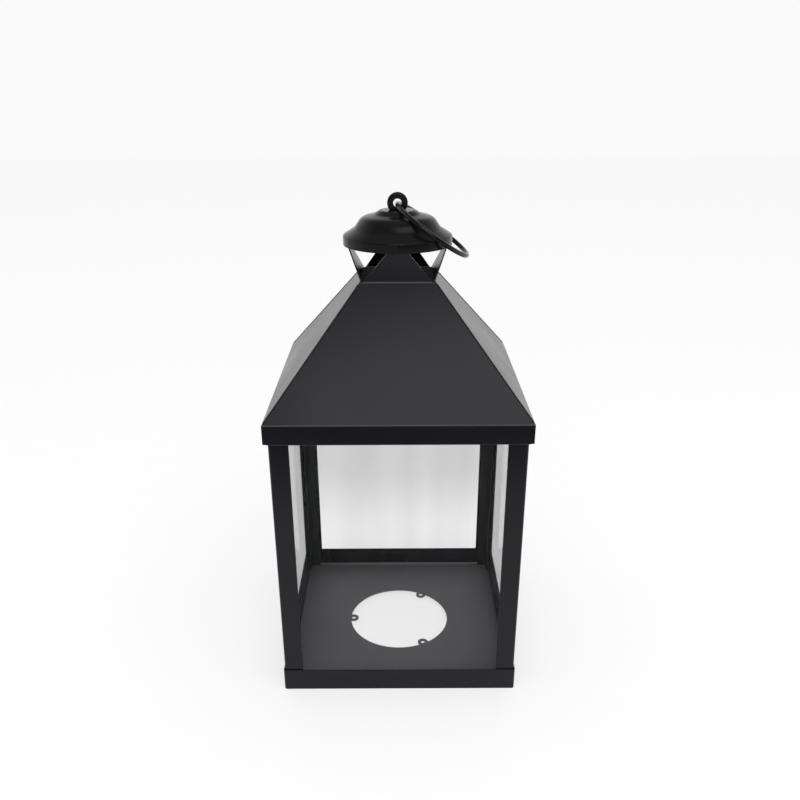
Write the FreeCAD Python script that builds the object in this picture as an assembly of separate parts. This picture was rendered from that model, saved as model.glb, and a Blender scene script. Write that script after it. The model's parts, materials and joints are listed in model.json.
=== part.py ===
"""A square sheet-metal candle lantern with glass panes, a hipped roof, a vent cap and a hanging ring.

Millimetres, +Z up, origin in the middle of the base on the surface it stands on. The front looks to -Y.
"""
import FreeCAD
import Part
import math
import os
from FreeCAD import Vector

# Sheet and clearances
SHEET = 0.8                   # thickness of all sheet metal
SEAT_CLEAR = 0.05             # between sheets that lie face to face
BEND_RADIUS = 1.6             # outside radius of a bend in the sheet
SEAM_GAP = 0.5               # open seam between neighbouring roof panels

# Base
BASE_WIDTH = 160.0            # outer width and depth of the base rim
RIM_HEIGHT = 16.2
RIM_EDGE_ROUND = 0.35         # softened upper edge of the rim
FLOOR_TOP = 2.0               # height of the floor's upper face
CANDLE_HOLE_RADIUS = 37.5
EAR_COUNT = 3
EAR_FIRST_ANGLE = 60.0        # degrees from +X
EAR_RADIUS = 3.7
SCREW_CIRCLE_RADIUS = 35.5    # from the lantern's axis to each screw hole
SCREW_HOLE_RADIUS = 1.6

# Body
POST_FLANGE = 12.6
POST_TOP_GAP = 3.0            # from the posts' top to the eave
GLASS_THICKNESS = 2.0
GLASS_TOP_GAP = 2.0           # from the panes' top to the posts' top
GLASS_END_GAP = 0.4           # between the ends of neighbouring panes
STRIP_FLANGE = 8.0            # inner corner strips
BAND_THICKNESS = 1.7          # the top band is folded double
BAND_PEEK = 0.7               # how far the top band shows under the fascia

# Roof
FASCIA_HEIGHT = 12.2
EAVE_HEIGHT = 200.0
THROAT_HEIGHT = 272.4
THROAT_HALF_WIDTH = 23.5
THROAT_BEND_RADIUS = 0.9
TAB_BASE_WIDTH = 43.5
TAB_TIP_WIDTH = 6.0
TAB_LAP = 4.5                 # how far each tab reaches up inside the cap's skirt

# Vent cap, heights above its lower edge
VENT_HEIGHT = 19.2            # from the throat to the cap's lower edge
CAP_RADIUS = 34.7
SKIRT_HEIGHT = 5.6
SKIRT_ROUND = 1.2
LEDGE_RADIUS = 27.3
LEDGE_HEIGHT = 10.2
LEDGE_ROUND = 4.0
SHOULDER_RADIUS = 23.0
SHOULDER_HEIGHT = 16.6
SHOULDER_ROUND = 8.0
BUTTON_FOOT_RADIUS = 14.8
BUTTON_FOOT_HEIGHT = 18.4
BUTTON_FOOT_ROUND = 2.0
BUTTON_RADIUS = 11.2
CAP_HEIGHT = 20.8
BUTTON_ROUND = 3.2

# Hanger
EYE_RADIUS = 6.5
EYE_HOLE_RADIUS = 2.7
EYE_THICKNESS = 4.4
EYE_EDGE_ROUND = 1.5
EYE_HOLE_ROUND = 0.7
EYE_RISE = 4.1                # from the cap's top to the middle of the eye's hole
STEM_RADIUS = 1.95
STEM_CLEAR = 0.25
STEM_END = 1.2                # stem left below the nut
WASHER_RADIUS = 5.0
WASHER_THICKNESS = 0.8
NUT_ACROSS_FLATS = 7.0
NUT_HEIGHT = 3.2
RING_RADIUS = 27.0            # middle of the wire
WIRE_RADIUS = 1.5
RING_REST_CLEAR = 0.3         # between the resting ring and what it leans on

# Sizes that follow from the ones above
BASE_HALF = BASE_WIDTH / 2
POST_HALF = BASE_HALF - SHEET - SEAT_CLEAR
GLASS_HALF = POST_HALF - SHEET - SEAT_CLEAR
STRIP_HALF = GLASS_HALF - GLASS_THICKNESS - SEAT_CLEAR
BAND_HALF = POST_HALF + SEAT_CLEAR + BAND_THICKNESS
ROOF_HALF = BAND_HALF + SEAT_CLEAR + SHEET
POST_TOP = EAVE_HEIGHT - POST_TOP_GAP
GLASS_TOP = POST_TOP - GLASS_TOP_GAP
FASCIA_BOTTOM = EAVE_HEIGHT - FASCIA_HEIGHT
CAP_BOTTOM = THROAT_HEIGHT + VENT_HEIGHT
CAP_TOP = CAP_BOTTOM + CAP_HEIGHT
EYE_HEIGHT = CAP_TOP + EYE_RISE
PIVOT_HEIGHT = EYE_HEIGHT - EYE_HOLE_RADIUS + WIRE_RADIUS + RING_REST_CLEAR
Y_AXIS = Vector(0, 1, 0)
Z_AXIS = Vector(0, 0, 1)
ORIGIN = Vector(0, 0, 0)


def square_block(half_width, bottom, top, corner_radius):
    """A square block about the Z axis with rounded upright corners."""
    width = 2 * half_width
    block = Part.makeBox(width, width, top - bottom, Vector(-half_width, -half_width, bottom))
    if corner_radius <= 0:
        return block
    upright = [edge for edge in block.Edges if abs(edge.tangentAt(edge.FirstParameter).z) > 0.9]
    return block.makeFillet(corner_radius, upright)


def square_ring(outer_half, wall, bottom, top, outer_round):
    """A square ring of sheet metal that stands upright."""
    outer = square_block(outer_half, bottom, top, outer_round)
    inner = square_block(outer_half - wall, bottom, top, outer_round - wall)
    return outer.cut(inner)


def heading(start, end):
    """The unit vector from one outline point to the next."""
    return (end - start).normalize()


def left_of(direction):
    """The unit vector to the left of a direction in the XZ plane, where X points out and Z up."""
    return Vector(-direction.z, 0, direction.x)


def turn_of(before, after):
    """The signed turn between two headings, positive to the left."""
    return math.atan2(before.x * after.z - before.z * after.x, before.dot(after))


def offset_outline(points, distance):
    """The same outline moved to its left by a distance, corner by corner."""
    headings = [heading(a, b) for a, b in zip(points, points[1:])]
    moved = [points[0] + left_of(headings[0]) * distance]
    for corner, before, after in zip(points[1:], headings, headings[1:]):
        half_turn = turn_of(before, after) / 2
        middle = (left_of(before) + left_of(after)).normalize()
        moved.append(corner + middle * (distance / math.cos(half_turn)))
    moved.append(points[-1] + left_of(headings[-1]) * distance)
    return moved


def rounded_edges(points, rounds, distance):
    """Lines and tangent arcs along an outline, with each round changed by the offset distance."""
    edges = []
    start = points[0]
    for before_point, corner, after_point, outer_round in zip(points, points[1:], points[2:], rounds):
        before = heading(before_point, corner)
        after = heading(corner, after_point)
        turn = turn_of(before, after)
        radius = outer_round - math.copysign(distance, turn)
        reach = radius * math.tan(abs(turn) / 2)
        arc_start = corner - before * reach
        arc_end = corner + after * reach
        inward = (after - before).normalize()
        arc_middle = corner + inward * (radius / math.cos(turn / 2) - radius)
        edges.append(Part.LineSegment(start, arc_start).toShape())
        edges.append(Part.Arc(arc_start, arc_middle, arc_end).toShape())
        start = arc_end
    edges.append(Part.LineSegment(start, points[-1]).toShape())
    return edges


def bent_sheet_face(points, rounds):
    """The section of a bent sheet whose outer face follows the points, with its thickness to their left."""
    inner_points = offset_outline(points, SHEET)
    outer = rounded_edges(points, rounds, 0)
    inner = rounded_edges(inner_points, rounds, SHEET)
    first_end = Part.LineSegment(inner_points[0], points[0]).toShape()
    last_end = Part.LineSegment(points[-1], inner_points[-1]).toShape()
    wire = Part.Wire(Part.__sortEdges__(outer + inner + [first_end, last_end]))
    return Part.Face(wire)


def turned(shape, degrees):
    """A copy of a shape turned about the lantern's axis."""
    copy = shape.copy()
    copy.rotate(ORIGIN, Z_AXIS, degrees)
    return copy


def make_base_rim():
    rim = square_ring(BASE_HALF, SHEET, 0, RIM_HEIGHT, BEND_RADIUS)
    on_top = [edge for edge in rim.Edges if edge.BoundBox.ZMin > RIM_HEIGHT - SEAT_CLEAR]
    return rim.makeFillet(RIM_EDGE_ROUND, on_top)


def make_base_floor():
    """A plate with turned-down edges that stand on the table, and ears in its candle hole."""
    pan = square_block(POST_HALF, 0, FLOOR_TOP, BEND_RADIUS)
    hollow = square_block(POST_HALF - SHEET, 0, FLOOR_TOP - SHEET, BEND_RADIUS - SHEET)
    hole = Part.makeCylinder(CANDLE_HOLE_RADIUS, FLOOR_TOP)
    floor = pan.cut(hollow).cut(hole)
    ear_bottom = Vector(SCREW_CIRCLE_RADIUS, 0, FLOOR_TOP - SHEET)
    root_length = CANDLE_HOLE_RADIUS + EAR_RADIUS - SCREW_CIRCLE_RADIUS
    root_corner = ear_bottom - Vector(0, EAR_RADIUS, 0)
    ear = Part.makeCylinder(EAR_RADIUS, SHEET, ear_bottom)
    ear = ear.fuse(Part.makeBox(root_length, 2 * EAR_RADIUS, SHEET, root_corner))
    screw_hole = Part.makeCylinder(SCREW_HOLE_RADIUS, FLOOR_TOP, Vector(SCREW_CIRCLE_RADIUS, 0, 0))
    for index in range(EAR_COUNT):
        angle = EAR_FIRST_ANGLE + index * 360 / EAR_COUNT
        floor = floor.fuse(turned(ear, angle)).cut(turned(screw_hole, angle))
    return floor.removeSplitter()


def make_corner_angle(outer_half, flange, bottom, top):
    """An L-angle that stands in the front left corner, with its bend outwards."""
    outer = square_block(outer_half, bottom, top, BEND_RADIUS)
    inner = square_block(outer_half - SHEET, bottom, top, BEND_RADIUS - SHEET)
    corner = Part.makeBox(flange, flange, top - bottom, Vector(-outer_half, -outer_half, bottom))
    return outer.cut(inner).common(corner)


def make_front_pane(half_length):
    """A pane behind the front posts, standing on the floor."""
    size = (2 * half_length, GLASS_THICKNESS, GLASS_TOP - FLOOR_TOP)
    return Part.makeBox(*size, Vector(-half_length, -GLASS_HALF, FLOOR_TOP))


def make_top_band():
    """A folded strip between the posts and the fascia."""
    band_round = BEND_RADIUS + BAND_THICKNESS - SHEET
    return square_ring(BAND_HALF, BAND_THICKNESS, FASCIA_BOTTOM - BAND_PEEK, EAVE_HEIGHT - SHEET, band_round)


def make_front_roof_panel():
    """One roof panel with its fascia and vent tab, cut to the hips."""
    cap_inner = CAP_RADIUS - SHEET - SEAT_CLEAR
    tip_reach = math.sqrt(cap_inner ** 2 - (TAB_TIP_WIDTH / 2) ** 2)
    tip_height = CAP_BOTTOM + TAB_LAP
    outline = [
        Vector(ROOF_HALF, 0, FASCIA_BOTTOM),
        Vector(ROOF_HALF, 0, EAVE_HEIGHT),
        Vector(THROAT_HALF_WIDTH, 0, THROAT_HEIGHT),
        Vector(tip_reach, 0, tip_height),
    ]
    section = bent_sheet_face(outline, [BEND_RADIUS, THROAT_BEND_RADIUS])
    section.translate(Vector(0, -ROOF_HALF, 0))
    sheet = section.extrude(Vector(0, 2 * ROOF_HALF, 0))

    # Seen from above, the hips bound the panel up to the throat.
    half_seam = SEAM_GAP / math.sqrt(2)
    tab_half = TAB_BASE_WIDTH / 2
    wedge_points = [
        Vector(half_seam, 0, 0),
        Vector(ROOF_HALF + half_seam, ROOF_HALF, 0),
        Vector(ROOF_HALF + half_seam, -ROOF_HALF, 0),
        Vector(half_seam, 0, 0),
    ]
    wedge = Part.Face(Part.makePolygon(wedge_points)).extrude(Vector(0, 0, CAP_TOP))

    # Seen from the front, the tab narrows to its tip above the throat.
    tab_points = [
        Vector(0, -ROOF_HALF, 0),
        Vector(0, ROOF_HALF, 0),
        Vector(0, ROOF_HALF, THROAT_HEIGHT - SHEET),
        Vector(0, tab_half, THROAT_HEIGHT - SHEET),
        Vector(0, TAB_TIP_WIDTH / 2, tip_height),
        Vector(0, -TAB_TIP_WIDTH / 2, tip_height),
        Vector(0, -tab_half, THROAT_HEIGHT - SHEET),
        Vector(0, -ROOF_HALF, THROAT_HEIGHT - SHEET),
        Vector(0, -ROOF_HALF, 0),
    ]
    front_view = Part.Face(Part.makePolygon(tab_points)).extrude(Vector(ROOF_HALF, 0, 0))
    return turned(sheet.common(wedge).common(front_view), -90)


def make_vent_cap():
    outline = [
        Vector(CAP_RADIUS, 0, 0),
        Vector(CAP_RADIUS, 0, SKIRT_HEIGHT),
        Vector(LEDGE_RADIUS, 0, LEDGE_HEIGHT),
        Vector(SHOULDER_RADIUS, 0, SHOULDER_HEIGHT),
        Vector(BUTTON_FOOT_RADIUS, 0, BUTTON_FOOT_HEIGHT),
        Vector(BUTTON_RADIUS, 0, CAP_HEIGHT),
        Vector(STEM_RADIUS + STEM_CLEAR, 0, CAP_HEIGHT),
    ]
    rounds = [SKIRT_ROUND, LEDGE_ROUND, SHOULDER_ROUND, BUTTON_FOOT_ROUND, BUTTON_ROUND]
    cap = bent_sheet_face(outline, rounds).revolve(ORIGIN, Z_AXIS, 360)
    cap.translate(Vector(0, 0, CAP_BOTTOM))
    return cap


def soften(shape, edges, radius):
    """Rounds those of the edges that aren't in the foot."""
    curved = [edge for edge in edges if edge.BoundBox.ZLength > SEAT_CLEAR]
    return shape.makeFillet(radius, curved)


def make_hanger_eye():
    """A round eye with soft edges, flat where it stands on the cap, on a stem that goes through it."""
    back_middle = Vector(0, -EYE_THICKNESS / 2, EYE_HEIGHT)
    foot_corner = Vector(-EYE_RADIUS, -EYE_THICKNESS / 2, CAP_TOP + SEAT_CLEAR)
    disc = Part.makeCylinder(EYE_RADIUS, EYE_THICKNESS, back_middle, Y_AXIS)
    above_cap = Part.makeBox(2 * EYE_RADIUS, EYE_THICKNESS, EYE_RISE + EYE_RADIUS, foot_corner)
    lug = disc.common(above_cap)
    lug = soften(lug, [edge for edge in lug.Edges if edge.BoundBox.YLength < SEAT_CLEAR], EYE_EDGE_ROUND)
    lug = lug.cut(Part.makeCylinder(EYE_HOLE_RADIUS, EYE_THICKNESS, back_middle, Y_AXIS))
    hole_width = 2 * EYE_HOLE_RADIUS + SEAT_CLEAR
    rims = [edge for edge in lug.Edges if edge.isClosed() and edge.BoundBox.XLength < hole_width]
    lug = soften(lug, rims, EYE_HOLE_ROUND)
    stem_length = SHEET + WASHER_THICKNESS + NUT_HEIGHT + STEM_END
    stem = Part.makeCylinder(STEM_RADIUS, stem_length + 2 * SEAT_CLEAR, Vector(0, 0, CAP_TOP - stem_length))
    return lug.fuse(stem).removeSplitter()


def make_hanger_washer():
    bottom = Vector(0, 0, CAP_TOP - SHEET - SEAT_CLEAR - WASHER_THICKNESS)
    disc = Part.makeCylinder(WASHER_RADIUS, WASHER_THICKNESS, bottom)
    return disc.cut(Part.makeCylinder(STEM_RADIUS + STEM_CLEAR, WASHER_THICKNESS, bottom))


def make_hanger_nut():
    bottom = Vector(0, 0, CAP_TOP - SHEET - 2 * SEAT_CLEAR - WASHER_THICKNESS - NUT_HEIGHT)
    corner_radius = NUT_ACROSS_FLATS / math.sqrt(3)
    corners = [bottom + turned_point(corner_radius, 60 * step) for step in range(7)]
    hexagon = Part.Face(Part.makePolygon(corners)).extrude(Vector(0, 0, NUT_HEIGHT))
    return hexagon.cut(Part.makeCylinder(STEM_RADIUS + SEAT_CLEAR, NUT_HEIGHT, bottom))


def turned_point(radius, degrees):
    """A point at a radius from the lantern's axis."""
    angle = math.radians(degrees)
    return Vector(radius * math.cos(angle), radius * math.sin(angle), 0)


def make_ring(tilt):
    """The wire ring through the eye, leaning to +X by a tilt in degrees below the level."""
    pivot = Vector(0, 0, PIVOT_HEIGHT)
    ring = Part.makeTorus(RING_RADIUS, WIRE_RADIUS, pivot + Vector(RING_RADIUS, 0, 0))
    ring.rotate(pivot, Y_AXIS, tilt)
    return ring


def rest_tilt(cap):
    """The tilt at which the ring comes down to its clearance above the cap."""
    free, blocked = 0.0, 90.0
    while blocked - free > 0.1:
        tilt = (free + blocked) / 2
        if make_ring(tilt).distToShape(cap)[0] > RING_REST_CLEAR:
            free = tilt
        else:
            blocked = tilt
    return free


def build_nodes():
    """Every piece of the lantern by its name."""
    nodes = {"base_rim": make_base_rim(), "base_floor": make_base_floor(), "top_band": make_top_band()}
    post = make_corner_angle(POST_HALF, POST_FLANGE, FLOOR_TOP, POST_TOP)
    strip = make_corner_angle(STRIP_HALF, STRIP_FLANGE, FLOOR_TOP, GLASS_TOP)
    corners = ["front_left", "front_right", "back_right", "back_left"]
    for index, corner in enumerate(corners):
        nodes["post_" + corner] = turned(post, 90 * index)
        nodes["corner_strip_" + corner] = turned(strip, 90 * index)
    long_half = GLASS_HALF - GLASS_END_GAP
    short_half = GLASS_HALF - GLASS_THICKNESS - GLASS_END_GAP
    panel = make_front_roof_panel()
    for index, side in enumerate(["front", "right", "back", "left"]):
        pane = make_front_pane(short_half if index % 2 else long_half)
        nodes["glass_" + side] = turned(pane, 90 * index)
        nodes["roof_" + side] = turned(panel, 90 * index)
    cap = make_vent_cap()
    tilt = rest_tilt(cap)
    print("ring rests %.1f degrees below the level" % tilt)
    nodes["vent_cap"] = cap
    nodes["hanger_eye"] = make_hanger_eye()
    nodes["hanger_washer"] = make_hanger_washer()
    nodes["hanger_nut"] = make_hanger_nut()
    nodes["hanging_ring"] = make_ring(tilt)
    return nodes


os.makedirs("parts", exist_ok=True)
for name, shape in build_nodes().items():
    solid = shape.Solids[0]
    box = solid.BoundBox
    print("%-26s %d solid %s volume %.1f z %.2f to %.2f" % (
        name, len(shape.Solids), "valid" if shape.isValid() else "BROKEN", shape.Volume, box.ZMin, box.ZMax))
    shape.exportStep("parts/%s.step" % name)
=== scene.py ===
# %% [markdown]
# # A black sheet-metal candle lantern
# This lesson dresses a finished lantern model: a square base tray, four corner posts, glass panes,
# a hipped roof, a pressed vent cap and a wire ring. The solids already have their real sizes, so the work
# here is finish, light and the round pieces that deserve a finer mesh. Everything is in metres.

# %% Load the lantern
import json
import math
import bpy
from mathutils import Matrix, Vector


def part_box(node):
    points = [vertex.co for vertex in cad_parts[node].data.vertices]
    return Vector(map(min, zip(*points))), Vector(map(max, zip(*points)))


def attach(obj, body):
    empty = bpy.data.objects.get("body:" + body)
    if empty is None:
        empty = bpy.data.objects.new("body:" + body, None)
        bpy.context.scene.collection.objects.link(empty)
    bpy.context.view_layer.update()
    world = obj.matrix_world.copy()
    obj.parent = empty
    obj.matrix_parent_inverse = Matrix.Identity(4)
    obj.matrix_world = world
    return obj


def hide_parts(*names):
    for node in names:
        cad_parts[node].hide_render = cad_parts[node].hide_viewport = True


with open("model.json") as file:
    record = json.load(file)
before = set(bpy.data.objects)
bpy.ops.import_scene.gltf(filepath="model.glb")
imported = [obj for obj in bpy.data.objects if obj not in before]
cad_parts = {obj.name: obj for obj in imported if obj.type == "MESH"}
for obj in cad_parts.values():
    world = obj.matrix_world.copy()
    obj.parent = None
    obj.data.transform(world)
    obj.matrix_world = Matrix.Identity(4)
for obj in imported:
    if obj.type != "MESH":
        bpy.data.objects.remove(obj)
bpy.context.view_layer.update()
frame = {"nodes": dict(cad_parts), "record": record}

scene = bpy.context.scene
nodes = frame["nodes"]
MM = 0.001
print("pieces in the frame:", len(nodes))

# %% [markdown]
# ## Helpers for shader trees
# A procedural finish is a handful of nodes joined by links. An image could be wrapped round each piece, but a
# finish made of noise stays sharp at any distance and needs no unwrapping. A few small helpers keep each
# finish short: they start a material, add a node, make noise on the piece, spread a value and add relief.

# %% Shader helpers
NOISE_LOW = 0.3
NOISE_HIGH = 0.7


def start_material(name):
    """A new material with an empty tree, its Principled shader and its output."""
    material = bpy.data.materials.new(name)
    material.use_nodes = True
    tree = material.node_tree
    tree.nodes.clear()
    output = tree.nodes.new("ShaderNodeOutputMaterial")
    shader = tree.nodes.new("ShaderNodeBsdfPrincipled")
    tree.links.new(shader.outputs["BSDF"], output.inputs["Surface"])
    return material, tree, shader


def add_node(tree, kind, **inputs):
    """A node with some of its input sockets set by name."""
    node = tree.nodes.new(kind)
    for socket_name, value in inputs.items():
        node.inputs[socket_name.replace("_", " ")].default_value = value
    return node


def noise_on_object(tree, scale, detail=4.0, stretch=(1, 1, 1)):
    """Noise in object space, so that it stays on the piece in every view and pose."""
    place = tree.nodes.new("ShaderNodeTexCoord")
    mapping = add_node(tree, "ShaderNodeMapping", Scale=stretch)
    noise = add_node(tree, "ShaderNodeTexNoise", Scale=scale, Detail=detail)
    tree.links.new(place.outputs["Object"], mapping.inputs["Vector"])
    tree.links.new(mapping.outputs["Vector"], noise.inputs["Vector"])
    return noise


def remap(tree, source, low, high):
    """The useful part of a noise, spread between two limits."""
    node = tree.nodes.new("ShaderNodeMapRange")
    node.inputs["From Min"].default_value = NOISE_LOW
    node.inputs["From Max"].default_value = NOISE_HIGH
    node.inputs["To Min"].default_value = low
    node.inputs["To Max"].default_value = high
    tree.links.new(source, node.inputs["Value"])
    return node.outputs["Result"]


def grey_ramp(tree, source, dark, light):
    """Two colours with a soft change between them, driven by noise."""
    ramp = tree.nodes.new("ShaderNodeValToRGB")
    ramp.color_ramp.elements[0].position = NOISE_LOW
    ramp.color_ramp.elements[0].color = (*dark, 1)
    ramp.color_ramp.elements[1].position = NOISE_HIGH
    ramp.color_ramp.elements[1].color = (*light, 1)
    tree.links.new(source, ramp.inputs["Fac"])
    return ramp.outputs["Color"]


def add_bump(tree, shader, height, strength, distance):
    """Fine relief on the surface."""
    bump = add_node(tree, "ShaderNodeBump", Strength=strength, Distance=distance)
    tree.links.new(height, bump.inputs["Height"])
    tree.links.new(bump.outputs["Normal"], shader.inputs["Normal"])


def node_math(tree, operation, first, second):
    """A Math node on two sockets or numbers."""
    node = tree.nodes.new("ShaderNodeMath")
    node.operation = operation
    for socket, value in zip(node.inputs, (first, second)):
        if isinstance(value, (int, float)):
            socket.default_value = value
        else:
            tree.links.new(value, socket)
    return node.outputs["Value"]


print("noise is used from", NOISE_LOW, "to", NOISE_HIGH)

# %% [markdown]
# ## Satin black powder coat
# The sheet metal wears a black powder coat. Up close it has a fine orange-peel relief, and its gloss
# changes a little from place to place. A plain black would look like a hole in the picture, so the colour
# moves between two near-blacks and the roughness follows a broad, faint noise. The cap and the wire are
# glossier than the sheet. The tray's floor, the top band and the strips inside are flatter, and each has its
# own coat. These coats are coloured paler than the black sheet as painted light: for the light that falls on
# the floor and the strips inside, and for a light line along the band.

# %% Powder coat
BROAD_SCALE = 14
PEEL_SCALE = 1400
PEEL_STRENGTH = 0.05
PEEL_DEPTH = 0.2 * MM


def make_powder_coat(name, dark, light, rough_low, rough_high, specular):
    """A near-black paint with a broad change of gloss and a fine relief."""
    material, tree, shader = start_material(name)
    broad = noise_on_object(tree, BROAD_SCALE, detail=3)
    peel = noise_on_object(tree, PEEL_SCALE, detail=2)
    tree.links.new(grey_ramp(tree, broad.outputs["Fac"], dark, light), shader.inputs["Base Color"])
    tree.links.new(remap(tree, broad.outputs["Fac"], rough_low, rough_high), shader.inputs["Roughness"])
    shader.inputs["Specular IOR Level"].default_value = specular
    add_bump(tree, shader, peel.outputs["Fac"], PEEL_STRENGTH, PEEL_DEPTH)
    return material


# %% Coats for the pieces
BLACK = ((0.0032, 0.0034, 0.0060), (0.0056, 0.0058, 0.0086))
# The tray, inner and band colours are paler than the black sheet: painted light for the floor, the strips
# inside and a light line along the band.
TRAY_PAINTED_LIGHT_GREY = ((0.073, 0.073, 0.080), (0.088, 0.088, 0.096))
WIRE_BLACK = ((0.0030, 0.0030, 0.0036), (0.0060, 0.0060, 0.0070))
CAP_BLACK = ((0.0040, 0.0040, 0.0046), (0.0070, 0.0070, 0.0078))
BAND_PAINTED_LIGHT_GREY = ((0.040, 0.040, 0.043), (0.050, 0.050, 0.054))
INNER_PAINTED_LIGHT_BLACK = ((0.0110, 0.0112, 0.0124), (0.0150, 0.0152, 0.0166))
ROOF_BLACK = ((0.0040, 0.0041, 0.0066), (0.0064, 0.0065, 0.0094))
coat = make_powder_coat("powder_coat", *BLACK, 0.24, 0.31, 0.24)
# These three coats carry painted light in their paler colours.
floor_painted_light_coat = make_powder_coat("tray_painted_light_coat", *TRAY_PAINTED_LIGHT_GREY, 0.38, 0.48, 0.4)
wire_coat = make_powder_coat("wire_coat", *WIRE_BLACK, 0.18, 0.24, 0.3)
cap_coat = make_powder_coat("cap_coat", *CAP_BLACK, 0.17, 0.23, 0.14)
inner_painted_light_coat = make_powder_coat("inner_painted_light_coat", *INNER_PAINTED_LIGHT_BLACK, 0.46, 0.54, 0.25)
band_painted_light_coat = make_powder_coat("band_painted_light_coat", *BAND_PAINTED_LIGHT_GREY, 0.40, 0.50, 0.3)
roof_coat = make_powder_coat("roof_coat", *ROOF_BLACK, 0.24, 0.31, 0.24)
coats = (coat, floor_painted_light_coat, wire_coat, cap_coat, inner_painted_light_coat, band_painted_light_coat, roof_coat)
print("coats:", ", ".join(made.name for made in coats))

# %% [markdown]
# ## Rubbed bends on the roof
# A sharp bend in the roof sheet catches a thin highlight, painted here as a paler line in the coat's colour.
# The two bends of a roof panel lie at one height each, at the eave and at the throat under the vent. An image
# mask could mark them, but the height in object space finds them with no image at all.

# %% Painted bend highlights
FASCIA_HEIGHT = 12.2 * MM
VENT_HEIGHT = 19.2 * MM
HIGHLIGHT_HALF = 0.4 * MM
# A paler grey: the painted highlight along each bend.
HIGHLIGHT_GREY = (0.042, 0.043, 0.046, 1)
roof_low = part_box("roof_front")[0]
cap_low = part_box("vent_cap")[0]
eave_height = roof_low[2] + FASCIA_HEIGHT
throat_height = cap_low[2] - VENT_HEIGHT


def paint_bend_highlights(material, heights):
    """Mixes a paler colour, a painted highlight, into a coat in a thin line at each height."""
    tree = material.node_tree
    shader = next(node for node in tree.nodes if node.type == "BSDF_PRINCIPLED")
    paint = shader.inputs["Base Color"].links[0].from_socket
    place = tree.nodes.new("ShaderNodeTexCoord")
    split = tree.nodes.new("ShaderNodeSeparateXYZ")
    tree.links.new(place.outputs["Object"], split.inputs["Vector"])
    highlighted = 0
    for height in heights:
        line = node_math(tree, "COMPARE", split.outputs["Z"], height)
        line.node.inputs[2].default_value = HIGHLIGHT_HALF
        highlighted = node_math(tree, "MAXIMUM", line, highlighted)
    mix = tree.nodes.new("ShaderNodeMix")
    mix.data_type = "RGBA"
    mix.inputs["B"].default_value = HIGHLIGHT_GREY
    tree.links.new(highlighted, mix.inputs["Factor"])
    tree.links.new(paint, mix.inputs["A"])
    tree.links.new(mix.outputs["Result"], shader.inputs["Base Color"])


# Painted highlight lines at the eave and at the throat.
paint_bend_highlights(roof_coat, [eave_height, throat_height - HIGHLIGHT_HALF])
print("eave at %.1f mm, throat at %.1f mm" % (eave_height / MM, throat_height / MM))

# %% [markdown]
# ## Window glass
# The panes are thin plain glass. A full refracting glass would turn the light inside the lantern off,
# because light paths through it are hard to find. A mostly transparent surface with a clear gloss lets the
# light in and still shows reflections. Faint upright streaks of painted reflection change how much it covers.
# It covers more at a grazing angle, further up where painted shade and reflection darken it under the roof,
# and along its ground lower edge.

# %% Height on a pane
def height_share(tree, low, high):
    """From 0 at one height of the piece to 1 at another."""
    place = tree.nodes.new("ShaderNodeTexCoord")
    split = tree.nodes.new("ShaderNodeSeparateXYZ")
    share = tree.nodes.new("ShaderNodeMapRange")
    share.interpolation_type = "SMOOTHSTEP"
    share.inputs["From Min"].default_value = low
    share.inputs["From Max"].default_value = high
    tree.links.new(place.outputs["Object"], split.inputs["Vector"])
    tree.links.new(split.outputs["Z"], share.inputs["Value"])
    return share.outputs["Result"]


pane_low, pane_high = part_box("glass_back")
print("panes stand from %.1f mm to %.1f mm" % (pane_low[2] / MM, pane_high[2] / MM))

# %% Glass
EDGE_LINE = 0.7 * MM
# Heights where the painted shade and reflection at a pane's top begin and end.
TOP_SHADE_LOW = 30 * MM
TOP_SHADE_HIGH = 105 * MM
GRAZING_COVER = 0.34
GLASS_GREY = (0.10, 0.107, 0.106, 1)
EDGE_GREEN = (0.25, 0.27, 0.255, 1)
GRAZING_POWER = 3
STREAK_SCALE = 9
STREAK_STRETCH = (4, 4, 0.25)
GLASS_ROUGHNESS = 0.04
GLASS_IOR = 1.5
BELOW_EDGE = 0.99


def make_window_glass(name, cover_low, cover_high, top_shade_share):
    """See-through glass whose cover adds up painted reflection streaks, grazing gloss, painted shade and
    reflection at the top, and a ground edge.
    """
    material, tree, shader = start_material(name)
    # Upright streaks of painted reflection change the cover.
    streaks = noise_on_object(tree, STREAK_SCALE, detail=1, stretch=STREAK_STRETCH)
    streak_reflection = remap(tree, streaks.outputs["Fac"], cover_low, cover_high)
    facing = tree.nodes.new("ShaderNodeLayerWeight")
    grazing = node_math(tree, "POWER", facing.outputs["Facing"], GRAZING_POWER)
    grazing = node_math(tree, "MULTIPLY", grazing, GRAZING_COVER)
    # Painted shade and reflection: the pane covers more, and so is darker, further up under the roof.
    painted_top_shade = height_share(tree, pane_low[2] + TOP_SHADE_LOW, pane_low[2] + TOP_SHADE_HIGH)
    painted_top_shade = node_math(tree, "MULTIPLY", painted_top_shade, top_shade_share)
    above_edge = height_share(tree, pane_low[2], pane_low[2] + EDGE_LINE)
    edge = node_math(tree, "LESS_THAN", above_edge, BELOW_EDGE)
    cover = node_math(tree, "ADD", streak_reflection, grazing)
    cover = node_math(tree, "ADD", cover, painted_top_shade)
    cover = node_math(tree, "MAXIMUM", cover, edge)
    colour = tree.nodes.new("ShaderNodeMix")
    colour.data_type = "RGBA"
    colour.inputs["A"].default_value = GLASS_GREY
    colour.inputs["B"].default_value = EDGE_GREEN
    tree.links.new(edge, colour.inputs["Factor"])
    tree.links.new(colour.outputs["Result"], shader.inputs["Base Color"])
    shader.inputs["Roughness"].default_value = GLASS_ROUGHNESS
    shader.inputs["IOR"].default_value = GLASS_IOR
    tree.links.new(cover, shader.inputs["Alpha"])
    return material


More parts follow.
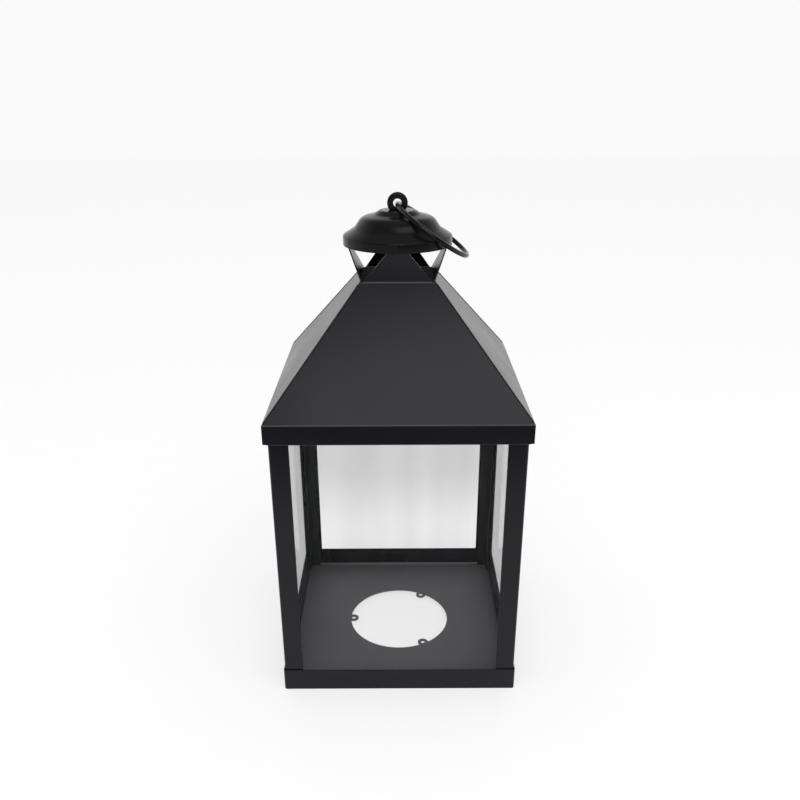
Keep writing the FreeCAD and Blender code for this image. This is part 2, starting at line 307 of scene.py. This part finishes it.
# The last number is how much painted shade and reflection darkens each pane's top.
pane_finish = {
    "glass_front": make_window_glass("front_glass", 0.010, 0.016, 0.02),
    "glass_back": make_window_glass("back_glass", 0.0, 0.05, 0.17),
    "glass_left": make_window_glass("left_glass", 0.04, 0.055, 0.03),
    "glass_right": make_window_glass("right_glass", 0.04, 0.055, 0.03),
}
print("panes:", len(pane_finish))

# %% [markdown]
# ## Zinc-plated washer and nut
# Two small pieces under the cap hold the eye. They show only from below. A flat grey would read as plastic,
# so they get a real plated finish: metallic and slightly cloudy in colour, gloss and relief.

# %% Zinc
CLOUD_SCALE = 300
ZINC_DARK = (0.42, 0.43, 0.45)
ZINC_LIGHT = (0.6, 0.6, 0.6)
ZINC_ROUGHNESS = (0.28, 0.42)
CLOUD_STRENGTH = 0.08
CLOUD_DEPTH = 0.2 * MM


def make_zinc():
    """Plated metal, cloudy in colour, gloss and relief."""
    material, tree, shader = start_material("zinc_plate")
    cloud = noise_on_object(tree, CLOUD_SCALE, detail=3).outputs["Fac"]
    tree.links.new(grey_ramp(tree, cloud, ZINC_DARK, ZINC_LIGHT), shader.inputs["Base Color"])
    tree.links.new(remap(tree, cloud, *ZINC_ROUGHNESS), shader.inputs["Roughness"])
    shader.inputs["Metallic"].default_value = 1
    add_bump(tree, shader, cloud, CLOUD_STRENGTH, CLOUD_DEPTH)
    return material


zinc = make_zinc()
print("plated finish:", zinc.name)

# %% [markdown]
# ## Dress the solids
# Each solid keeps its shape and takes a finish by its name. Its mesh is made of loose triangles, so a small
# Geometry Nodes tree joins their corners and shades soft bends smoothly, with real edges kept crisp. Shading
# everything smooth would smear the folds of the sheet, and shading it flat would show the facets of the cap.

# %% Soft shading for the solids
SHARP_ANGLE = math.radians(32)
SAME_CORNER = 0.001 * MM


def make_soft_shading_tree():
    """A tree that joins corners and keeps edges crisp where they turn by more than an angle."""
    tree = bpy.data.node_groups.new("soft_bends", "GeometryNodeTree")
    tree.interface.new_socket("Geometry", in_out="INPUT", socket_type="NodeSocketGeometry")
    angle_socket = tree.interface.new_socket("Sharp Angle", in_out="INPUT", socket_type="NodeSocketFloat")
    tree.interface.new_socket("Geometry", in_out="OUTPUT", socket_type="NodeSocketGeometry")
    source = tree.nodes.new("NodeGroupInput")
    merge = tree.nodes.new("GeometryNodeMergeByDistance")
    merge.inputs["Distance"].default_value = SAME_CORNER
    smooth = tree.nodes.new("GeometryNodeSetShadeSmooth")
    edge_angle = tree.nodes.new("GeometryNodeInputMeshEdgeAngle")
    is_sharp = tree.nodes.new("FunctionNodeCompare")
    is_sharp.operation = "GREATER_THAN"
    crisp = tree.nodes.new("GeometryNodeSetShadeSmooth")
    crisp.domain = "EDGE"
    crisp.inputs["Shade Smooth"].default_value = False
    result = tree.nodes.new("NodeGroupOutput")
    link = tree.links.new
    link(source.outputs["Geometry"], merge.inputs["Geometry"])
    link(merge.outputs["Geometry"], smooth.inputs["Geometry"])
    link(smooth.outputs["Geometry"], crisp.inputs["Geometry"])
    link(edge_angle.outputs["Unsigned Angle"], is_sharp.inputs["A"])
    link(source.outputs["Sharp Angle"], is_sharp.inputs["B"])
    link(is_sharp.outputs["Result"], crisp.inputs["Selection"])
    link(crisp.outputs["Geometry"], result.inputs["Geometry"])
    return tree, angle_socket.identifier


soft_tree, sharp_input = make_soft_shading_tree()
print("edges stay crisp past %.0f degrees" % math.degrees(SHARP_ANGLE))


# %% A finish for each solid
def dress(name, material):
    """Gives a solid its finish and its soft shading."""
    solid = nodes[name]
    solid.data.materials.clear()
    solid.data.materials.append(material)
    modifier = solid.modifiers.new("soft bends", "NODES")
    modifier.node_group = soft_tree
    modifier[sharp_input] = SHARP_ANGLE


# The floor, the strips inside and the top band get the coats with painted light.
for name in nodes:
    if name in pane_finish:
        dress(name, pane_finish[name])
    elif name in ("hanger_washer", "hanger_nut"):
        dress(name, zinc)
    elif name == "base_floor":
        dress(name, floor_painted_light_coat)
    elif name == "hanging_ring":
        dress(name, wire_coat)
    elif name in ("vent_cap", "hanger_eye"):
        dress(name, cap_coat)
    elif name.startswith("corner_strip"):
        dress(name, inner_painted_light_coat)
    elif name == "top_band":
        dress(name, band_painted_light_coat)
    elif name.startswith("roof_"):
        dress(name, roof_coat)
    else:
        dress(name, coat)
print("dressed:", len(nodes))

# %% [markdown]
# ## Pieces from Geometry Nodes
# Two things on the lantern follow a simple rule: the ring is a wire bent round a circle, and the roof has the
# same bead of paint in each of its four hip seams. A small node tree makes each one from named sizes.
# The tree runs once, and its result is kept as a plain mesh.

# %% Helpers for node trees
def start_tree(name, sizes):
    """A node tree with one named input for each size, and its input and output nodes."""
    tree = bpy.data.node_groups.new(name, "GeometryNodeTree")
    for size_name, kind in sizes.items():
        tree.interface.new_socket(size_name, in_out="INPUT", socket_type=kind)
    tree.interface.new_socket("Geometry", in_out="OUTPUT", socket_type="NodeSocketGeometry")
    return tree, tree.nodes.new("NodeGroupInput"), tree.nodes.new("NodeGroupOutput")


def finish_tree(tree, shape, result, material):
    """Ends a tree with soft shading, real geometry in place of instances, and a material."""
    realize = tree.nodes.new("GeometryNodeRealizeInstances")
    soften = tree.nodes.new("GeometryNodeGroup")
    soften.node_tree = soft_tree
    soften.inputs["Sharp Angle"].default_value = SHARP_ANGLE
    paint = tree.nodes.new("GeometryNodeSetMaterial")
    paint.inputs["Material"].default_value = material
    tree.links.new(shape, realize.inputs["Geometry"])
    tree.links.new(realize.outputs["Geometry"], soften.inputs["Geometry"])
    tree.links.new(soften.outputs["Geometry"], paint.inputs["Geometry"])
    tree.links.new(paint.outputs["Geometry"], result.inputs["Geometry"])


def run_tree(name, tree, values):
    """A new piece with the tree's result as its mesh."""
    piece = bpy.data.objects.new(name, bpy.data.meshes.new(name))
    scene.collection.objects.link(piece)
    modifier = piece.modifiers.new("shape", "NODES")
    modifier.node_group = tree
    for item in tree.interface.items_tree:
        if item.in_out == "INPUT":
            modifier[item.identifier] = values[item.name]
    evaluated = piece.evaluated_get(bpy.context.evaluated_depsgraph_get())
    finished = bpy.data.meshes.new_from_object(evaluated)
    piece.modifiers.remove(modifier)
    piece.data = finished
    return piece


print("node trees so far:", len(bpy.data.node_groups))

# %% [markdown]
# ## The wire ring
# The real ring is a length of wire bent round until its ends meet, with a fine line where they do. A swept
# profile along an arc gives the wire, its two flat ends and the line between them, which a torus would not.

# %% Wire ring
WIRE_STEPS = 160
WIRE_SIDES = 24
END_GAP = 0.35 * MM


def make_ring_tree():
    """A round wire swept along an arc that stops short of its own start."""
    tree, sizes, result = start_tree("wire_ring", {
        "Ring Radius": "NodeSocketFloat", "Wire Radius": "NodeSocketFloat", "Gap Angle": "NodeSocketFloat",
        "Centre": "NodeSocketVector", "Turn": "NodeSocketVector"})
    half = tree.nodes.new("ShaderNodeMath")
    half.operation = "MULTIPLY"
    half.inputs[1].default_value = 0.5
    sweep = tree.nodes.new("ShaderNodeMath")
    sweep.operation = "SUBTRACT"
    sweep.inputs[0].default_value = 2 * math.pi
    path = tree.nodes.new("GeometryNodeCurveArc")
    path.inputs["Resolution"].default_value = WIRE_STEPS
    profile = tree.nodes.new("GeometryNodeCurvePrimitiveCircle")
    profile.inputs["Resolution"].default_value = WIRE_SIDES
    wire = tree.nodes.new("GeometryNodeCurveToMesh")
    wire.inputs["Fill Caps"].default_value = True
    placed = tree.nodes.new("GeometryNodeTransform")
    link = tree.links.new
    link(sizes.outputs["Gap Angle"], half.inputs[0])
    link(sizes.outputs["Gap Angle"], sweep.inputs[1])
    link(sizes.outputs["Ring Radius"], path.inputs["Radius"])
    link(half.outputs["Value"], path.inputs["Start Angle"])
    link(sweep.outputs["Value"], path.inputs["Sweep Angle"])
    link(sizes.outputs["Wire Radius"], profile.inputs["Radius"])
    link(path.outputs["Curve"], wire.inputs["Curve"])
    link(profile.outputs["Curve"], wire.inputs["Profile Curve"])
    link(wire.outputs["Mesh"], placed.inputs["Geometry"])
    link(sizes.outputs["Centre"], placed.inputs["Translation"])
    link(sizes.outputs["Turn"], placed.inputs["Rotation"])
    finish_tree(tree, placed.outputs["Geometry"], result, wire_coat)
    return tree


# %% The ring in its place
def make_wire_ring():
    """The ring at rest in the eye, with its sizes read from the joint, the mount and the solid."""
    pivot = Vector(frame["record"]["behaviour"]["joints"][0]["pos_m"])
    hang = next(mount for mount in frame["record"]["mounts"] if mount["name"] == "hang_ring")
    centre = Vector(hang["pos_m"])
    lean = centre - pivot
    ring_low, ring_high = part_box("hanging_ring")
    wire_radius = (ring_high[1] - ring_low[1]) / 2 - lean.length
    ring = run_tree("wire_ring", make_ring_tree(), {
        "Ring Radius": lean.length, "Wire Radius": wire_radius, "Gap Angle": END_GAP / lean.length,
        "Centre": centre, "Turn": Vector((0, math.atan2(-lean.z, lean.x), 0))})
    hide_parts("hanging_ring")
    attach(ring, "ring")
    return ring


ring = make_wire_ring()
print("ring faces:", len(ring.data.polygons))

# %% [markdown]
# ## Beads in the hip seams
# Neighbouring roof panels meet at the hips with an open seam, and paint gathers there in a thin dark bead.
# One bead is swept along a straight line, and three more are turned copies of it.

# %% Hip beads
BEAD_RADIUS = 0.55 * MM
BEAD_SIDES = 10
BEAD_SINK = 0.25 * MM
CORNER_CLEAR = 2.0 * MM
THROAT_HALF = 23.5 * MM
HIP_COUNT = 4


def make_bead_tree():
    """One bead from foot to head, and a turned copy for every hip."""
    tree, sizes, result = start_tree("hip_beads", {
        "Bead Radius": "NodeSocketFloat", "Foot": "NodeSocketVector", "Head": "NodeSocketVector"})
    path = tree.nodes.new("GeometryNodeCurvePrimitiveLine")
    profile = tree.nodes.new("GeometryNodeCurvePrimitiveCircle")
    profile.inputs["Resolution"].default_value = BEAD_SIDES
    bead = tree.nodes.new("GeometryNodeCurveToMesh")
    bead.inputs["Fill Caps"].default_value = True
    corners = tree.nodes.new("GeometryNodeMeshLine")
    corners.inputs["Count"].default_value = HIP_COUNT
    corners.inputs["Offset"].default_value = (0, 0, 0)
    number = tree.nodes.new("GeometryNodeInputIndex")
    quarter = tree.nodes.new("ShaderNodeMath")
    quarter.operation = "MULTIPLY"
    quarter.inputs[1].default_value = 2 * math.pi / HIP_COUNT
    turn = tree.nodes.new("ShaderNodeCombineXYZ")
    copies = tree.nodes.new("GeometryNodeInstanceOnPoints")
    link = tree.links.new
    link(sizes.outputs["Foot"], path.inputs["Start"])
    link(sizes.outputs["Head"], path.inputs["End"])
    link(sizes.outputs["Bead Radius"], profile.inputs["Radius"])
    link(path.outputs["Curve"], bead.inputs["Curve"])
    link(profile.outputs["Curve"], bead.inputs["Profile Curve"])
    link(number.outputs["Index"], quarter.inputs[0])
    link(quarter.outputs["Value"], turn.inputs["Z"])
    link(corners.outputs["Mesh"], copies.inputs["Points"])
    link(bead.outputs["Mesh"], copies.inputs["Instance"])
    link(turn.outputs["Vector"], copies.inputs["Rotation"])
    finish_tree(tree, copies.outputs["Instances"], result, coat)
    return tree


# %% The beads in their seams
def make_hip_beads():
    """Beads from the eave's corners to the throat's, sunk a little into the seams."""
    eave_corner = Vector((-roof_low[1], -roof_low[1], eave_height))
    throat_corner = Vector((THROAT_HALF, THROAT_HALF, throat_height))
    along = (throat_corner - eave_corner).normalized()
    inward = Vector((-1, -1, -1)).normalized() * BEAD_SINK
    beads = run_tree("hip_beads", make_bead_tree(), {
        "Bead Radius": BEAD_RADIUS, "Foot": eave_corner + along * CORNER_CLEAR + inward,
        "Head": throat_corner - along * CORNER_CLEAR + inward})
    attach(beads, "lantern")
    return beads


beads = make_hip_beads()
print("hip beads' faces:", len(beads.data.polygons))

# %% [markdown]
# ## Table
# The photo has a white table and a white backdrop, and the room behind the camera is dim. Upright faces
# of the lantern mirror the table close by and the dim room further off, so their black deepens upwards.
# The table ends a little in front of the lantern for that reason, outside the picture. More light would make
# it white and wash out the paint, so part of its white is its own, and the rest keeps the shadow.

# %% Table
TABLE_REACH = 4.0
TABLE_FRONT = -0.40
TABLE_WHITE_SHARE = 0.6
TABLE_WHITE = (0.978, 0.978, 0.978, 1)
TABLE_PAINT = (0.90, 0.90, 0.90, 1)
TABLE_ROUGHNESS = 0.9


def show_white(tree, shader):
    """Lifts the table to white where it is seen, mirrored or behind glass, and keeps the shadow."""
    path = tree.nodes.new("ShaderNodeLightPath")
    seen = node_math(tree, "MAXIMUM", path.outputs["Is Camera Ray"], path.outputs["Is Glossy Ray"])
    seen = node_math(tree, "MAXIMUM", seen, path.outputs["Is Transmission Ray"])
    share = node_math(tree, "MULTIPLY", seen, TABLE_WHITE_SHARE)
    white = add_node(tree, "ShaderNodeEmission", Color=TABLE_WHITE, Strength=1.0)
    mix = tree.nodes.new("ShaderNodeMixShader")
    output = next(node for node in tree.nodes if node.type == "OUTPUT_MATERIAL")
    tree.links.new(share, mix.inputs["Fac"])
    tree.links.new(shader.outputs["BSDF"], mix.inputs[1])
    tree.links.new(white.outputs["Emission"], mix.inputs[2])
    tree.links.new(mix.outputs["Shader"], output.inputs["Surface"])


def make_table():
    """A wide flat sheet under the lantern."""
    mesh = bpy.data.meshes.new("table")
    corners = [(-TABLE_REACH, TABLE_FRONT, 0), (TABLE_REACH, TABLE_FRONT, 0),
               (TABLE_REACH, TABLE_REACH, 0), (-TABLE_REACH, TABLE_REACH, 0)]
    mesh.from_pydata(corners, [], [(0, 1, 2, 3)])
    table = bpy.data.objects.new("table", mesh)
    scene.collection.objects.link(table)
    material, tree, shader = start_material("white_table")
    shader.inputs["Base Color"].default_value = TABLE_PAINT
    shader.inputs["Roughness"].default_value = TABLE_ROUGHNESS
    shader.inputs["Specular IOR Level"].default_value = 0.0
    show_white(tree, shader)
    mesh.materials.append(material)
    return table


table = make_table()
print("table reaches %.1f m to each side" % TABLE_REACH)

# %% [markdown]
# ## Sky
# The camera and matt surfaces see white. Looking back towards the lamps the table is brighter, so the
# camera's white is fuller there too. Glossy black paint shows what it mirrors far more than its own colour,
# so what it mirrors is set apart: a white backdrop that ends some way up, a soft light overhead, a pale
# strip low in the room, and dim air between them. A photographed sky could do this too, but a few numbers
# are easier to tune against the picture.

# %% Sky
CAMERA_WHITE = 0.955
CAMERA_SIDES = (-0.30, 0.0, 1.0, CAMERA_WHITE)
BACKDROP = (-0.45, 0.05, 0.02, CAMERA_WHITE)
BACKDROP_TOP = (0.35, 0.80, 1.0, 0.25)
OVERHEAD = (0.45, 0.95, 0.02, 0.4)
PALE_STRIP_DROP = 0.15
PALE_STRIP = (0.03, 0.14, 0.80, 0.0)


def sky_range(tree, source, limits):
    """Spreads one part of a direction between two brightnesses."""
    node = tree.nodes.new("ShaderNodeMapRange")
    for socket_name, value in zip(("From Min", "From Max", "To Min", "To Max"), limits):
        node.inputs[socket_name].default_value = value
    tree.links.new(source, node.inputs["Value"])
    return node.outputs["Result"]


def make_sky():
    """White for the camera and for matt surfaces, and a dim room in front for reflections."""
    world = bpy.data.worlds.new("studio")
    world.use_nodes = True
    tree = world.node_tree
    tree.nodes.clear()
    output = tree.nodes.new("ShaderNodeOutputWorld")
    background = tree.nodes.new("ShaderNodeBackground")
    background.inputs["Color"].default_value = (1, 1, 1, 1)
    direction = tree.nodes.new("ShaderNodeTexCoord")
    split = tree.nodes.new("ShaderNodeSeparateXYZ")
    path = tree.nodes.new("ShaderNodeLightPath")
    tree.links.new(direction.outputs["Generated"], split.inputs["Vector"])
    depth, height = split.outputs["Y"], split.outputs["Z"]
    backdrop_end = sky_range(tree, height, BACKDROP_TOP)
    backdrop = node_math(tree, "MULTIPLY", sky_range(tree, depth, BACKDROP), backdrop_end)
    drop = node_math(tree, "ADD", height, PALE_STRIP_DROP)
    strip = sky_range(tree, node_math(tree, "ABSOLUTE", drop, 0), PALE_STRIP)
    mirrored = node_math(tree, "MAXIMUM", backdrop, sky_range(tree, height, OVERHEAD))
    mirrored = node_math(tree, "MAXIMUM", mirrored, strip)
    white = sky_range(tree, depth, CAMERA_SIDES)
    camera_white = node_math(tree, "MULTIPLY", path.outputs["Is Camera Ray"], white)
    seen = node_math(tree, "MAXIMUM", mirrored, camera_white)
    strength = node_math(tree, "MAXIMUM", seen, path.outputs["Is Diffuse Ray"])
    tree.links.new(strength, background.inputs["Strength"])
    tree.links.new(background.outputs["Background"], output.inputs["Surface"])
    scene.world = world


make_sky()
print("sky:", scene.world.name)

# %% [markdown]
# ## Lamps
# Two wide soft lamps stand in front, one overhead to the right and one low strip. The roof's front mirrors
# the first one softly, so it grows paler downwards and to the right. Small lamps would leave hard spots.

# %% Lamps
LAMP_TARGET = (0, 0, 0.2)


def add_softbox(name, place, width, height, watts):
    """A rectangular lamp that looks at the middle of the lantern."""
    lamp = bpy.data.lights.new(name, "AREA")
    lamp.shape = "RECTANGLE"
    lamp.size = width
    lamp.size_y = height
    lamp.energy = watts
    holder = bpy.data.objects.new(name, lamp)
    holder.location = place
    aim = Vector(LAMP_TARGET) - Vector(place)
    holder.rotation_euler = aim.to_track_quat("-Z", "Y").to_euler()
    scene.collection.objects.link(holder)


add_softbox("overhead", place=(0.29, -0.84, 1.33), width=1.3, height=0.5, watts=5.1)
add_softbox("front strip", place=(0.0, -1.60, 1.00), width=1.4, height=0.25, watts=4.0)
print("lamps:", len(bpy.data.lights))

# %% [markdown]
# ## Camera
# The photo was taken from the front and above with a fairly wide lens. The values come from fitting the
# lantern's own corners to the picture, with the lens given in pixels of an 800 pixel frame.

# %% Camera
IMAGE_SIZE = 800
SENSOR_WIDTH = 36
NEAREST = 0.01
LENS_PIXELS = 813.9
PRINCIPAL_ROW = 455.0
PRINCIPAL_COLUMN = 398.6
CAMERA_PLACE = (-0.0002, -0.5269, 0.3884)
CAMERA_PITCH = -0.4362
CAMERA_ROLL = 0.0035
CAMERA_YAW = -0.0022


def make_camera():
    """The photo's own camera, with its picture centre moved off the frame's centre."""
    lens = bpy.data.cameras.new("camera")
    lens.sensor_width = SENSOR_WIDTH
    lens.lens = LENS_PIXELS / IMAGE_SIZE * lens.sensor_width
    lens.shift_y = (PRINCIPAL_ROW - IMAGE_SIZE / 2) / IMAGE_SIZE
    lens.shift_x = (IMAGE_SIZE / 2 - PRINCIPAL_COLUMN) / IMAGE_SIZE
    lens.clip_start = NEAREST
    camera = bpy.data.objects.new("camera", lens)
    camera.rotation_euler = (math.pi / 2 + CAMERA_PITCH, CAMERA_ROLL, CAMERA_YAW)
    camera.location = CAMERA_PLACE
    scene.collection.objects.link(camera)
    scene.camera = camera


make_camera()
scene.view_settings.view_transform = "Standard"
print("lens: %.1f mm" % scene.camera.data.lens)
